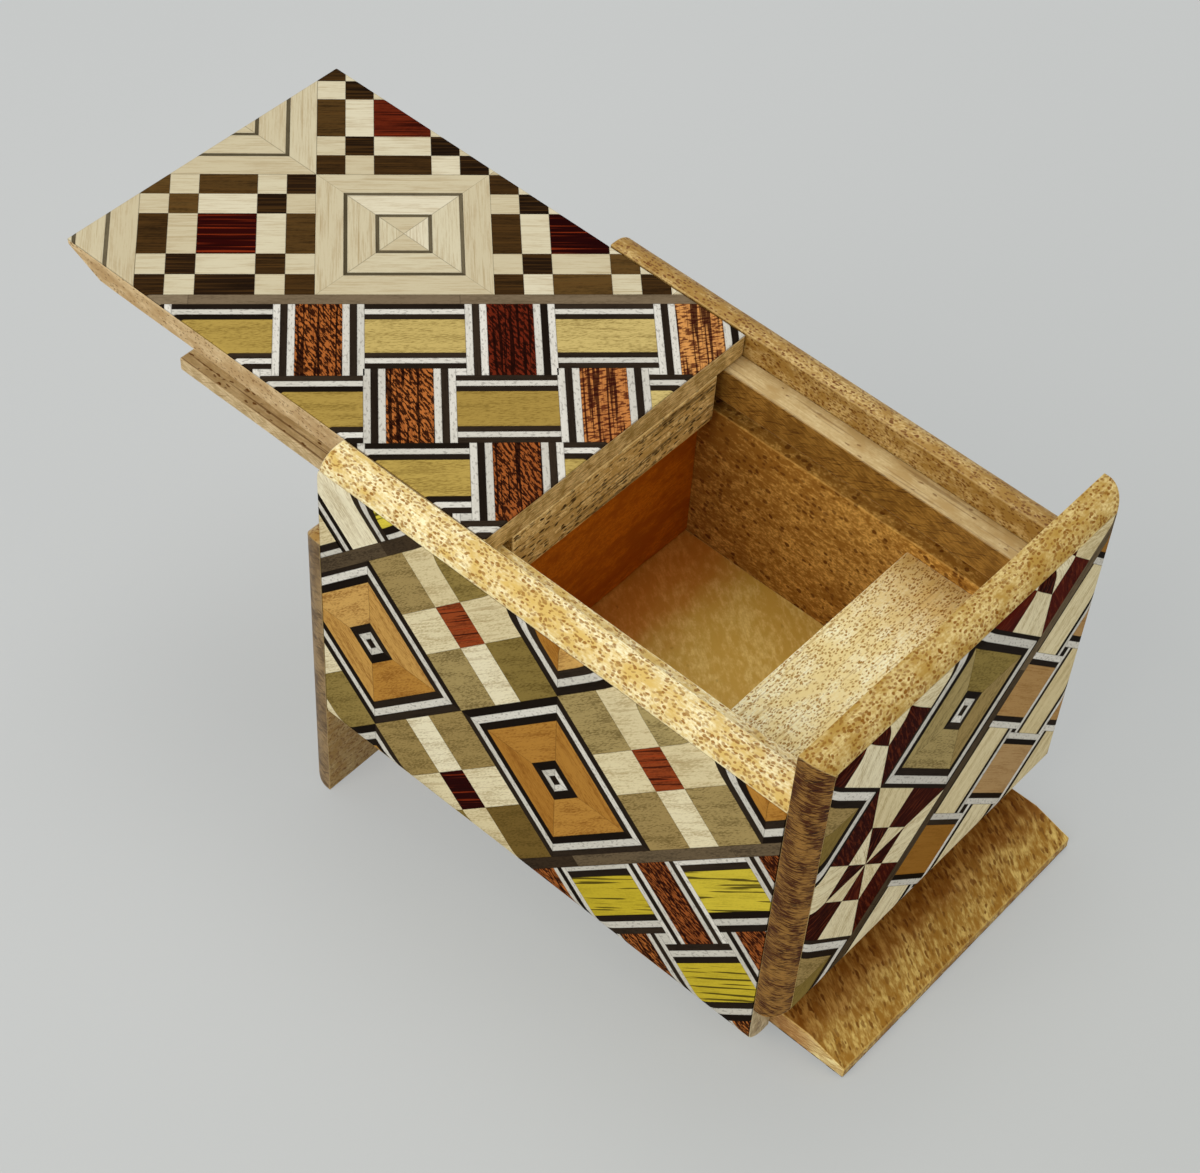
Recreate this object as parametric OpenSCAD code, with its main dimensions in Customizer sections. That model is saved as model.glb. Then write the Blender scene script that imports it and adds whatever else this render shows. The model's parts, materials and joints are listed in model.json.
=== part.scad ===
// A small wooden secret box, half opened: the right end is raised, the bottom board is drawn out
// to the right, the left end has dropped and the lid is slid out to the left over it.
// X runs along the length of the box, Z points up, and the origin is the middle of the underside.

/* [Box] */
// Length of the two long side boards
box_l = 56; // [50:1:80]
// Width over the two side boards
box_w = 44; // [38:0.2:64]
// Height from underside to lid top, with everything closed
box_h = 39.6; // [36:0.2:60]

/* [Boards] */
// Thickness of the side boards, without their yosegi sheet
side_t = 3.3; // [3:0.1:5]
// Thickness of the end boards, without their yosegi sheet
end_t = 3; // [2.8:0.1:5]
// Thickness of the lid board and of the bottom board, without their yosegi sheet
slab_t = 2.7; // [2.4:0.1:4]
// Thickness of the yosegi sheets
sheet_t = 0.2; // [0.1:0.05:0.4]
// Radius of the rounded outer edges
edge_r = 2.7; // [1:0.1:2.9]

/* [Runners] */
// How far the four tongues stand in from the side boards
tongue_w = 2.8; // [2:0.1:4]
// Height of each tongue
tongue_h = 4.2; // [3:0.1:5]
// Thickness of the flanges that run behind the tongues
flange_t = 1.6; // [1.2:0.1:2.4]
// How far the flanges stand out from their core
flange_w = 2.7; // [2.2:0.1:3.2]
// Gap between a core and the tongues beside it
core_gap = 1.2; // [0.6:0.1:1.6]
// Bare length of the lid in front of its flanges
lid_lead = 14; // [10:0.5:20]
// How far the flanges stop short of the lid's rear end
flange_end = 6; // [1:0.5:10]
// Length of the bevel at the leading end of the lid and of the bottom board
bevel_l = 4.4; // [2:0.1:8]
// Height of the bevel on the lid
lid_bevel_h = 2.1; // [0.5:0.1:2.2]
// Height of the bevel on the bottom board
bottom_bevel_h = 1.4; // [0.5:0.1:2.2]

/* [Compartment] */
// Distance from the left end of the side boards to the compartment
left_l = 15.2; // [13:0.2:20]
// Distance from the compartment to the right end of the side boards
right_l = 14.6; // [12:0.2:20]
// Thickness of the compartment floor
floor_t = 2; // [1.5:0.1:3]
// Thickness of the two cross walls
wall_t = 2.4; // [1.5:0.1:3]
// Thickness of the ledge over the right end
ledge_t = 2; // [1.5:0.1:3]
// How far the ledge lies below the top of the liners
ledge_drop = 1.5; // [1:0.1:4]

/* [Keys] */
// Thickness of the guide strips behind the ends
guide_t = 2.4; // [1.6:0.1:3]
// Width of the stem of a key
stem_w = 8; // [5:0.5:12]
// Width of the head of a key
head_w = 15; // [14:0.5:20]
// Thickness of the head of a key
head_t = 2; // [1.2:0.1:3]
// Height of the keys
key_h = 5.6; // [4:0.2:6]
// Length of the lock strip on the left end
lock_l = 7; // [4:0.2:8]
// Height of the lock strip
lock_h = 5.6; // [3:0.2:5.8]
// Width of the lock strip
lock_w = 26; // [16:1:28]

/* [Opened position] */
// How far the lid is drawn out to the left
lid_out = 38.2; // [20:0.2:44]
// How far the bottom board is drawn out to the right
bottom_out = 9; // [8.6:0.1:12]
// How far the left end has dropped
left_drop = 12; // [10.2:0.1:12.6]
// How far the right end is raised
right_raise = 6.8; // [4:0.1:7]

/* [Clearances] */
// Sliding clearance between a moving piece and its neighbour
play = 0.15; // [0.1:0.01:0.2]
// Gap between the end boards and the ends of the box
end_play = 0.1; // [0.06:0.01:0.2]
// Gap left at the end of a piece's travel
stop_gap = 0.3; // [0.2:0.05:0.5]

/* [Hidden] */

$fn = 96;
// Overshoot of a cutting shape past the face that it cuts
over = 1;

// Half sizes of the box, and the inner faces of the side boards
half_l = box_l / 2;
half_w = box_w / 2;
inner_y = half_w - sheet_t - side_t;
// Faces of the tongues and liners towards the middle of the box
tongue_y = inner_y - tongue_w;
core_y = tongue_y - core_gap;

// The stack of runners under the lid; the one over the bottom board is its mirror image
slab_z = box_h - sheet_t - slab_t;
tongue_top = slab_z - play;
tongue_low = tongue_top - tongue_h;
flange_top = tongue_low - play;
flange_low = flange_top - flange_t;
liner_top = flange_low - play;
floor_z = box_h - liner_top;
floor_top = floor_z + floor_t;
ledge_top = liner_top - ledge_drop;

// Length of the lid board and of the bottom board between the two ends
slab_l = box_l - 2 * play;
bottom_lead = bottom_out + stop_gap;
// Faces of the end boards towards the box
end_x = half_l + end_play;
// Lowest point of each key: the left one stands on the floor, the right one meets the ledge
left_key_z = floor_top + play;
right_key_z = ledge_top - ledge_t - play - key_h;
// Lowest point of the lock strip, which rests on the bottom board when the box is closed
lock_z = sheet_t + slab_t + play - left_drop;

beech = "#d9b67a";
beech_dark = "#b98a4a";
beech_grey = "#9c8a66";
yosegi = "#8a6a3e";
inside = "#a6702e";

// A plain board from its lowest corner to its highest corner
module board(low, high) {
    translate(low) cube(high - low);
}

// What rounding takes off the corner of an outline at the origin
module corner_waste(r) {
    difference() {
        translate([-over, -over]) square(r + over);
        translate([r, r]) circle(r);
    }
}

// Outline of a board whose face lies on the Y axis and has its two outer corners rounded
module rounded_outline(thickness, height, r) {
    difference() {
        square([thickness, height]);
        corner_waste(r);
        translate([0, height]) mirror([0, 1]) corner_waste(r);
    }
}

// A layer of a long side, from depth a to depth b below its rounded outer face
module side_layer(a, b) {
    translate([-half_l, -half_w, 0]) rotate([90, 0, 90]) linear_extrude(box_l) intersection() {
        rounded_outline(side_t + sheet_t, box_h, edge_r);
        translate([a, -over]) square([b - a, box_h + 2 * over]);
    }
}

// A layer of an end, from depth a to depth b below its outer face, rounded along all four edges
module end_layer(a, b) {
    whole = end_t + sheet_t;
    translate([-end_x - whole, -half_w, 0]) intersection() {
        translate([0, box_w, 0]) rotate([90, 0, 0]) linear_extrude(box_w)
            rounded_outline(whole, box_h, edge_r);
        linear_extrude(box_h) rounded_outline(whole, box_w, edge_r);
        translate([a, -over, -over]) cube([b - a, box_w + 2 * over, box_h + 2 * over]);
    }
}

// The same piece on the back of the box
module at_back() {
    mirror([0, 1, 0]) children();
}

// The same piece at the right end of the box
module at_right() {
    mirror([1, 0, 0]) children();
}

// The same piece under the box: turned over, so that the left end of the lid becomes the right
// end of the bottom board
module turned_over() {
    translate([0, 0, box_h]) rotate([0, 180, 0]) children();
}

// A runner along the front side board, between two heights
module runner(low, high) {
    board([-half_l, -inner_y, low], [half_l, -tongue_y, high]);
}

// The lid board or the bottom board in its closed place, bevelled under its leading left end
module slab(bevel_h) {
    left = -slab_l / 2;
    translate([0, inner_y - play, 0]) rotate([90, 0, 0]) linear_extrude(2 * (inner_y - play))
        polygon([
            [left, slab_z + slab_t], [left, slab_z + bevel_h], [left + bevel_l, slab_z],
            [-left, slab_z], [-left, slab_z + slab_t]]);
}

// Its yosegi sheet, in its closed place
module slab_sheet() {
    half = [slab_l / 2, inner_y - play];
    board([-half.x, -half.y, slab_z + slab_t], [half.x, half.y, box_h]);
}

// Its core, set in from the leading end by lead and from the rear end by rear
module slab_core(lead, rear) {
    board([-slab_l / 2 + lead, -core_y, flange_low], [slab_l / 2 - rear, core_y, slab_z]);
}

// Its front flange, over the same length
module slab_flange(lead, rear) {
    board([-slab_l / 2 + lead, -core_y - flange_w, flange_low],
        [slab_l / 2 - rear, -core_y, flange_top]);
}

// A guide strip behind the left end: with its twin it leaves a slot for the stem of the key
module guide() {
    board([-half_l, -tongue_y, floor_top], [-half_l + guide_t, -stem_w / 2 - play, liner_top]);
}

// The stem of a key on the left end
module key_stem(z) {
    board([-end_x, -stem_w / 2, z], [-half_l + guide_t + play, stem_w / 2, z + key_h]);
}

// The head of that key, behind the guide strips
module key_head(z) {
    x = -half_l + guide_t + play;
    board([x, -head_w / 2, z], [x + head_t, head_w / 2, z + key_h]);
}

// The two long sides of the box, with their sheets
module front_side_board() {
    color(beech) side_layer(sheet_t, side_t + sheet_t);
}

module front_yosegi_sheet() {
    color(yosegi) side_layer(0, sheet_t);
}

module back_side_board() {
    color(beech) at_back() side_layer(sheet_t, side_t + sheet_t);
}

module back_yosegi_sheet() {
    color(yosegi) at_back() side_layer(0, sheet_t);
}

// The tongues that hold the lid and the bottom board
module front_top_tongue() {
    color(beech_dark) runner(tongue_low, tongue_top);
}

module back_top_tongue() {
    color(beech_dark) at_back() runner(tongue_low, tongue_top);
}

module front_bottom_tongue() {
    color(beech_dark) runner(box_h - tongue_top, box_h - tongue_low);
}

module back_bottom_tongue() {
    color(beech_dark) at_back() runner(box_h - tongue_top, box_h - tongue_low);
}

// The inner box between the tongues
module front_liner() {
    color(beech_dark) runner(floor_z, liner_top);
}

module back_liner() {
    color(beech_dark) at_back() runner(floor_z, liner_top);
}

module compartment_floor() {
    color(inside) board([-half_l, -tongue_y, floor_z], [half_l, tongue_y, floor_top]);
}

module left_cross_wall() {
    x = -half_l + left_l;
    color(inside) board([x - wall_t, -tongue_y, floor_top], [x, tongue_y, liner_top]);
}

module right_cross_wall() {
    x = half_l - right_l;
    color(inside) board([x, -tongue_y, floor_top], [x + wall_t, tongue_y, ledge_top - ledge_t]);
}

module right_ledge() {
    color(beech) board([half_l - right_l, -tongue_y, ledge_top - ledge_t],
        [half_l, tongue_y, ledge_top]);
}

// The guide strips behind the ends; the right pair stops under the ledge
module left_front_guide() {
    color(beech_dark) guide();
}

module left_back_guide() {
    color(beech_dark) at_back() guide();
}

module right_front_guide() {
    color(beech_dark) board([half_l - guide_t, -tongue_y, floor_top],
        [half_l, -stem_w / 2 - play, ledge_top - ledge_t]);
}

module right_back_guide() {
    color(beech_dark) at_back() board([half_l - guide_t, -tongue_y, floor_top],
        [half_l, -stem_w / 2 - play, ledge_top - ledge_t]);
}

// The lid, drawn out to the left
module lid_board() {
    color(beech_grey) translate([-lid_out, 0, 0]) slab(lid_bevel_h);
}

module lid_yosegi_sheet() {
    color(yosegi) translate([-lid_out, 0, 0]) slab_sheet();
}

module lid_core() {
    color(beech_grey) translate([-lid_out, 0, 0]) slab_core(lid_lead, 0);
}

module lid_front_flange() {
    color(beech_grey) translate([-lid_out, 0, 0]) slab_flange(lid_lead, flange_end);
}

module lid_back_flange() {
    color(beech_grey) translate([-lid_out, 0, 0]) at_back() slab_flange(lid_lead, flange_end);
}

// The bottom board, drawn out to the right; its core leaves room for the lock strip
module bottom_board() {
    color(beech) translate([bottom_out, 0, 0]) turned_over() slab(bottom_bevel_h);
}

module bottom_yosegi_sheet() {
    color(yosegi) translate([bottom_out, 0, 0]) turned_over() slab_sheet();
}

module bottom_core() {
    color(beech) translate([bottom_out, 0, 0]) turned_over()
        slab_core(bottom_lead, lock_l + stop_gap);
}

module bottom_front_flange() {
    color(beech) translate([bottom_out, 0, 0]) turned_over()
        slab_flange(bottom_lead, lock_l + stop_gap);
}

module bottom_back_flange() {
    color(beech) translate([bottom_out, 0, 0]) turned_over() at_back()
        slab_flange(bottom_lead, lock_l + stop_gap);
}

// The left end, dropped
module left_end_board() {
    color(beech) translate([0, 0, -left_drop]) end_layer(sheet_t, end_t + sheet_t);
}

module left_end_yosegi_sheet() {
    color(yosegi) translate([0, 0, -left_drop]) end_layer(0, sheet_t);
}

module left_key_stem() {
    color(beech_dark) key_stem(left_key_z);
}

module left_key_head() {
    color(beech_dark) key_head(left_key_z);
}

module left_lock_strip() {
    color(beech_dark) board([-end_x, -lock_w / 2, lock_z],
        [-half_l + lock_l, lock_w / 2, lock_z + lock_h]);
}

// The right end, raised
module right_end_board() {
    color(beech) translate([0, 0, right_raise]) at_right() end_layer(sheet_t, end_t + sheet_t);
}

module right_end_yosegi_sheet() {
    color(yosegi) translate([0, 0, right_raise]) at_right() end_layer(0, sheet_t);
}

module right_key_stem() {
    color(beech_dark) at_right() key_stem(right_key_z);
}

module right_key_head() {
    color(beech_dark) at_right() key_head(right_key_z);
}

front_side_board();
front_yosegi_sheet();
back_side_board();
back_yosegi_sheet();
front_top_tongue();
back_top_tongue();
front_bottom_tongue();
back_bottom_tongue();
front_liner();
back_liner();
compartment_floor();
left_cross_wall();
right_cross_wall();
right_ledge();
left_front_guide();
left_back_guide();
right_front_guide();
right_back_guide();
lid_board();
lid_yosegi_sheet();
lid_core();
lid_front_flange();
lid_back_flange();
bottom_board();
bottom_yosegi_sheet();
bottom_core();
bottom_front_flange();
bottom_back_flange();
left_end_board();
left_end_yosegi_sheet();
left_key_stem();
left_key_head();
left_lock_strip();
right_end_board();
right_end_yosegi_sheet();
right_key_stem();
right_key_head();
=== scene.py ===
"""A small Japanese secret box of beech and yosegi marquetry, shown half opened.

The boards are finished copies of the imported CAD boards, with eased edges. The yosegi sheets are
laid shaving by shaving over the CAD's plain sheets: a few blocks of cut woods are repeated by
Geometry Nodes, trimmed to the sheet and planed down into the rounded edges.
Patterns are drawn in millimetres, and become metres where a piece is finished.
"""

import json
import math
import random

import bmesh
import bpy
from mathutils import Matrix, Vector, noise

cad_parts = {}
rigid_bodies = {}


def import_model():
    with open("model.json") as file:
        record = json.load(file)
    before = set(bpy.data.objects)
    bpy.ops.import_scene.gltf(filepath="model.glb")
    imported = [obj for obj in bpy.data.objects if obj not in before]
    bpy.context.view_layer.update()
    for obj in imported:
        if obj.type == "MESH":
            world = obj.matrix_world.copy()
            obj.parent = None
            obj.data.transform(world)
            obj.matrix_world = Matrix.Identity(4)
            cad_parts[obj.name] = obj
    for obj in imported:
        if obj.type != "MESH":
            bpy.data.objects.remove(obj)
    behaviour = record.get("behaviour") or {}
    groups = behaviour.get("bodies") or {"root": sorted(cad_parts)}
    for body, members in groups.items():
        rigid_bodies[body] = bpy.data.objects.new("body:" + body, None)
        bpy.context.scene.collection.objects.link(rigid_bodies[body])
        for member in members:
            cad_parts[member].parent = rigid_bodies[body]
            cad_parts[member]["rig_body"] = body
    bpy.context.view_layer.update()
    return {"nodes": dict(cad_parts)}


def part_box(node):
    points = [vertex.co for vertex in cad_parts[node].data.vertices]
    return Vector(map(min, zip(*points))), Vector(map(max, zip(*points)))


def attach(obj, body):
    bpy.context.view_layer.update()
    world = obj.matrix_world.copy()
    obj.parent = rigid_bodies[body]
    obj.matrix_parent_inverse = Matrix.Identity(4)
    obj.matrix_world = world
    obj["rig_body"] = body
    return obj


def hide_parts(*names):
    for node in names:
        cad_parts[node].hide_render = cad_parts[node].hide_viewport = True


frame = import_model()

MM = 0.001
DIAGONAL = math.sqrt(0.5)

# Measures in millimetres and square millimetres.
EDGE_RADIUS = 2.7
SHEET_EDGE = 0.25
GLUE_LINE = 0.045
SLIVER_AREA = 1e-4
JOINTED_AREA = 0.05
EASED = 0.14
WAVER = 0.05
RING_STEP = 1.6


# -------- nodes and colours


def linear(code):
    """An sRGB hex value as a linear colour."""
    parts = [int(code[i : i + 2], 16) / 255 for i in (1, 3, 5)]
    return tuple(c / 12.92 if c < 0.04045 else ((c + 0.055) / 1.055) ** 2.4 for c in parts) + (1.0,)


def add(tree, kind, sockets=None, stops=None, **settings):
    """One node: its settings, its ramp stops as (place, hex), and each input's value or source."""
    made = tree.nodes.new(kind)
    for key, value in settings.items():
        setattr(made, key, value)
    if stops:
        while len(made.color_ramp.elements) < len(stops):
            made.color_ramp.elements.new(1.0)
        for element, (place, code) in zip(made.color_ramp.elements, stops):
            element.position = place
            element.color = linear(code)
    for key, value in (sockets or {}).items():
        if isinstance(value, bpy.types.NodeSocket):
            tree.links.new(value, made.inputs[key])
        else:
            made.inputs[key].default_value = value
    return made


def calc(tree, operation, a, b=0.0, clamp=False):
    """One sum on two numbers or sockets."""
    return add(tree, "ShaderNodeMath", {0: a, 1: b}, operation=operation, use_clamp=clamp).outputs[0]


def times(tree, a, b):
    """The product of two numbers or sockets."""
    return calc(tree, "MULTIPLY", a, b)


def weighed(tree, *parts, clamp=False):
    """The sum of some values times their weights, from (value, weight) pairs."""
    total = times(tree, *parts[0])
    for part in parts[1:]:
        total = calc(tree, "ADD", total, times(tree, *part), clamp)
    return total


def mixed(tree, factor, a, b, share=1.0, blend="MIX"):
    """Colour a with up to a share of colour b over it; either may be a socket or a hex value."""
    if share < 1.0:
        factor = times(tree, factor, share)
    colours = [linear(c) if isinstance(c, str) else c for c in (a, b)]
    return add(tree, "ShaderNodeMix", {0: factor, 6: colours[0], 7: colours[1]},
               data_type="RGBA", blend_type=blend).outputs[2]


def threshold(tree, value, low, high):
    """0 below low, 1 above high, and smooth between; turned round where low is above high."""
    low, high, first, last = (low, high, 0.0, 1.0) if low < high else (high, low, 1.0, 0.0)
    return add(tree, "ShaderNodeMapRange", {"Value": value, 1: low, 2: high, 3: first, 4: last},
               interpolation_type="SMOOTHSTEP").outputs[0]


def stretched(tree, place, sizes, turn=(0, 0, 0), shift=(0, 0, 0)):
    """Coordinates turned by degrees, in which one unit is so many millimetres along each axis."""
    angles = tuple(math.radians(a) for a in turn)
    turned = add(tree, "ShaderNodeMapping", {"Vector": place, "Rotation": angles, "Location": shift})
    scale = tuple(1 / s for s in sizes)
    return add(tree, "ShaderNodeMapping", {"Vector": turned.outputs[0], "Scale": scale}).outputs[0]


def grain_noise(tree, place, sizes, detail=2.0, rough=0.5, turn=(0, 0, 0), shift=(0, 0, 0)):
    """Noise whose lumps are about the given millimetres long on each axis."""
    at = stretched(tree, place, sizes, turn, shift)
    return add(tree, "ShaderNodeTexNoise", {"Vector": at, "Scale": 1.0, "Detail": detail,
                                            "Roughness": rough}).outputs["Fac"]


def attribute(tree, name):
    """A value that the mesh carries under this name."""
    return add(tree, "ShaderNodeAttribute", attribute_name=name).outputs["Fac"]


def axes(tree, vector):
    """The three parts of a vector."""
    return add(tree, "ShaderNodeSeparateXYZ", {0: vector}).outputs


def new_material(name, inputs):
    """A material with only its shader, whose inputs are given; also its tree and that shader."""
    material = bpy.data.materials.new(name)
    material.use_nodes = True
    tree = material.node_tree
    tree.nodes.clear()
    shader = add(tree, "ShaderNodeBsdfPrincipled", inputs)
    add(tree, "ShaderNodeOutputMaterial", {"Surface": shader.outputs[0]})
    return material, tree, shader


def finish_material(tree, shader, colour, height, rough, bump, depth):
    """Joins colour, roughness and a bump of so many millimetres to the shader."""
    tree.links.new(colour, shader.inputs["Base Color"])
    tree.links.new(rough, shader.inputs["Roughness"])
    bumped = add(tree, "ShaderNodeBump", {"Height": height, "Strength": bump, "Distance": depth * MM})
    tree.links.new(bumped.outputs[0], shader.inputs["Normal"])


def in_scene(name, data):
    """A new object in the scene."""
    made = bpy.data.objects.new(name, data)
    bpy.context.scene.collection.objects.link(made)
    return made


# -------- board woods


def end_streaks(tree, place, facing, axis, pale, dark, slant):
    """Fine slanting streaks and knife marks on the faces that look along one axis, and their mask."""
    turn = [0.0, 0.0, 0.0]
    turn[axis] = slant
    sizes = [0.14, 0.14, 1.2]
    sizes[axis] = 1.0
    streaks = grain_noise(tree, place, sizes, 3.0, 0.7, turn=turn)
    broad = grain_noise(tree, place, (1.6, 1.6, 2.6))
    weight = weighed(tree, (streaks, 0.65), (broad, 0.35))
    colour = mixed(tree, threshold(tree, weight, 0.43, 0.58), dark, pale)
    marks = grain_noise(tree, place, (2.4, 1.0, 0.15), 1.0, turn=(0, 30, 0), shift=(4, 0, 9))
    colour = mixed(tree, threshold(tree, marks, 0.60, 0.67), colour, dark, 0.65, "MULTIPLY")
    mask = threshold(tree, calc(tree, "ABSOLUTE", axes(tree, facing)[axis]), 0.26, 0.42)
    return colour, mask


def ray_dashes(tree, place, spacing, size, share, shift):
    """Small dashes where the rays of the wood come to the surface, from 0 to 1.

    spacing is along the grain and across it; size is a dash's reach as a part of the spacing.
    """
    stir = add(tree, "ShaderNodeTexNoise", {"Vector": place, "Scale": 1.2, "Detail": 1.0})
    stirred = add(tree, "ShaderNodeVectorMath", {0: stir.outputs["Color"], 1: (0.5, 0.5, 0.5), 2: place},
                  operation="MULTIPLY_ADD").outputs[0]
    at = stretched(tree, stirred, (spacing[0], spacing[1], spacing[1]), shift=shift)
    cells = add(tree, "ShaderNodeTexVoronoi", {"Vector": at, "Scale": 1.0, "Randomness": 0.85})
    drawn = add(tree, "ShaderNodeSeparateColor", {0: cells.outputs["Color"]})
    dots = threshold(tree, cells.outputs["Distance"], size + 0.08, size - 0.08)
    kept = threshold(tree, drawn.outputs[0], share + 0.02, share - 0.02)
    fading = threshold(tree, grain_noise(tree, place, (1.6, 1.6, 1.6), 1.0, shift=shift), 0.28, 0.42)
    strength = calc(tree, "SUBTRACT", fading, times(tree, drawn.outputs[2], 0.45), True)
    return times(tree, times(tree, dots, kept), strength)


def painted_shade_band(tree, plain, colour, axis, near, far, hue):
    """Painted shade across the board: a darker hue multiplied in, that fades along one axis, from one
    place to another in millimetres.
    """
    uneven = calc(tree, "SUBTRACT", grain_noise(tree, plain, (2.0, 5.0, 3.0), 2.0, 0.6), 0.5)
    edge = calc(tree, "ADD", axes(tree, plain)[axis], times(tree, uneven, 4.0))
    return mixed(tree, threshold(tree, edge, far, near), colour, hue, 0.75, "MULTIPLY")


def flecked(name, light, deep, fleck, turn=0.0, dash=(0.62, 0.36), size=0.4, share=0.95, cloud=1.3,
            fibre=0.35, grit=0.25, lines=0.15, sheen=0.46, bump=0.35, strand=(3.0, 0.15), gloss=0.3,
            end=None, painted_shade=None, seed=0.0):
    """A planed board with a light and a deep tone, and rays that show as small dashes.

    turn lays the grain about the upright axis. dash, size and share are those of the dashes, strand
    the length and width of the fibres in millimetres, cloud the size of the ground's patches.
    fibre, grit and lines are the strength of fibres, dust and long pores.
    """
    material, tree, shader = new_material(name, {"Specular IOR Level": gloss})
    shift = (seed, seed * 0.7, seed * 1.3)
    here = add(tree, "ShaderNodeTexCoord").outputs
    plain = add(tree, "ShaderNodeMapping", {"Vector": here["Object"], "Scale": (1 / MM,) * 3}).outputs[0]
    place = stretched(tree, plain, (1, 1, 1), (0, 0, turn))
    clouds = grain_noise(tree, place, (cloud * 2.0, cloud, cloud), 3.0, 0.65, shift=shift)
    slow = grain_noise(tree, place, (22.0, 6.0, 6.0), 1.0, shift=shift)
    ground = weighed(tree, (clouds, 0.65), (slow, 0.35))
    colour = mixed(tree, threshold(tree, ground, 0.40, 0.60), deep, light)
    dust = grain_noise(tree, place, (0.34, 0.22, 0.22), 1.0, shift=shift)
    fibres = grain_noise(tree, place, (strand[0], strand[1], strand[1]), 2.0, 0.65, shift=shift)
    hair = weighed(tree, (threshold(tree, fibres, 0.60, 0.38), fibre),
                   (threshold(tree, dust, 0.60, 0.40), grit), clamp=True)
    colour = mixed(tree, hair, colour, deep)
    pores = grain_noise(tree, place, (14.0, 0.3, 0.3), 1.0, shift=shift)
    colour = mixed(tree, threshold(tree, pores, 0.58, 0.66), colour, fleck, lines)
    dashes = ray_dashes(tree, place, dash, size, share, shift)
    colour = mixed(tree, dashes, colour, fleck)
    height = calc(tree, "SUBTRACT", times(tree, fibres, 0.5), dashes)
    if end:
        streaked, mask = end_streaks(tree, plain, here["Normal"], *end)
        colour = mixed(tree, mask, colour, streaked)
    # Painted shade: a darker hue multiplied in where a neighbouring part shades the board.
    if painted_shade:
        colour = painted_shade_band(tree, plain, colour, *painted_shade)
    colour = mixed(tree, attribute(tree, "worn"), colour, light, 0.3)
    rough = calc(tree, "SUBTRACT", sheen + 0.1, times(tree, clouds, 0.2))
    finish_material(tree, shader, colour, height, rough, bump, depth=0.06)
    return material


def planed_beech():
    """Beech, planed, rounded over and varnished: pale gold, close brown dashes, a soft sheen."""
    return flecked("beech_rail", "#fbf2c6", "#d6b562", "#966618", dash=(0.54, 0.29),
                   size=0.43, grit=0.45, lines=0.08, end=(0, "#cdbb93", "#9c8458", 0.0), seed=2.0)


def shaded_beech():
    """The same beech from a browner plank: tan, with dashes of orange brown."""
    return flecked("beech_back_rail", "#d2b578", "#a07a38", "#70420e", dash=(0.5, 0.3), share=0.9,
                   grit=0.6, lines=0.2, gloss=0.2, seed=31.0)


def end_beech():
    """Beech cut across the rays: small soft dots on the rim, slanting streaks on the dark edges."""
    return flecked("beech_end_panel", "#dac588", "#ab8840", "#825418", turn=-90, dash=(0.46, 0.33),
                   size=0.43, grit=0.45, lines=0.05, gloss=0.06, end=(1, "#946c34", "#442008", 75.0),
                   seed=11.0)


def left_end_beech():
    """The left end's plank is greyer: beige with brown slanting streaks on its edges."""
    return flecked("beech_left_end", "#d8bf88", "#b38d4c", "#8a5c24", turn=-90, dash=(0.42, 0.32),
                   grit=0.5, lines=0.05, gloss=0.2, end=(1, "#9c8158", "#5c4425", 75.0), seed=12.0)


def ledge_beech():
    """Fine beech laid across the box: pale, peppered with tiny dots along thin growth lines."""
    # Darker towards the back end of the ledge: painted shade.
    return flecked("beech_ledge", "#fffad4", "#efdb9c", "#a57a32", turn=-90, dash=(0.44, 0.22),
                   size=0.4, grit=0.5, lines=0.4, cloud=1.6, gloss=0.12,
                   painted_shade=(1, 15.0, 3.0, "#c8a86c"), seed=5.0)


def flat_sawn_beech():
    """Flat-sawn beech of the bottom board: ochre, furred with slanting brown strokes."""
    # The darker band below x = 31 mm is a painted contact shadow beside the right end panel.
    return flecked("beech_bottom_board", "#d6b86a", "#9a6e26", "#7a5018", turn=26, dash=(1.7, 0.36),
                   share=0.55, lines=0.2, fibre=0.75, cloud=0.9, bump=0.5, grit=0.1, strand=(2.2, 0.36),
                   gloss=0.1, end=(1, "#f4e2a4", "#c9a768", 90.0), painted_shade=(0, 31.0, 35.0, "#be9064"),
                   seed=17.0)


def lid_beech():
    """Bare wood of the lid board: beige, speckled finely, with a greyer sawn end."""
    return flecked("lid_board_wood", "#e0c698", "#bb9a6a", "#7d5a2c", dash=(0.5, 0.25),
                   share=0.7, size=0.32, lines=0.1, sheen=0.55, gloss=0.2,
                   end=(0, "#e2c588", "#a4874a", 90.0), seed=23.0)


def rough_core():
    """Coarse sawn core block: olive tan with dark torn pores, matt."""
    return flecked("rough_core_wood", "#ffe6a4", "#c4a05c", "#321d06", turn=-90, dash=(1.1, 0.34),
                   share=0.55, lines=0.6, fibre=0.65, grit=0.7, cloud=0.9,
                   sheen=0.65, bump=0.8, gloss=0.15, seed=3.0)


def runner_beech(name, light, deep, side, seed, share=0.5, lines=0.7):
    """Bare beech runners, polished by sliding: tan with thin brown lines, other tones at the side."""
    return flecked(name, light, deep, "#6b431a", dash=(0.9, 0.34), share=share, size=0.35,
                   lines=lines, fibre=0.5, gloss=0.2, end=(1, *side, 78.0), seed=seed)


def inner_wood():
    """Bare thin boards inside: softly mottled golden brown, matt."""
    return flecked("inner_box_wood", "#e2b25c", "#9a6a28", "#6a3e12", dash=(0.8, 0.6),
                   share=0.35, lines=0.05, fibre=0.15, grit=0.6, cloud=0.5,
                   sheen=0.55, bump=0.2, gloss=0.1, seed=13.0)


def floor_wood():
    """The compartment's floor: smooth golden tan, softly mottled, with painted shade, darker and redder,
    beside the partition.
    """
    return flecked("compartment_floor_wood", "#f4d880", "#dab250", "#a5782e", turn=35,
                   share=0.0, lines=0.03, fibre=0.22, grit=0.35, cloud=0.7, sheen=0.5,
                   bump=0.1, gloss=0.15, painted_shade=(0, -10.0, -2.0, "#dc8c30"), seed=29.0)


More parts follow.
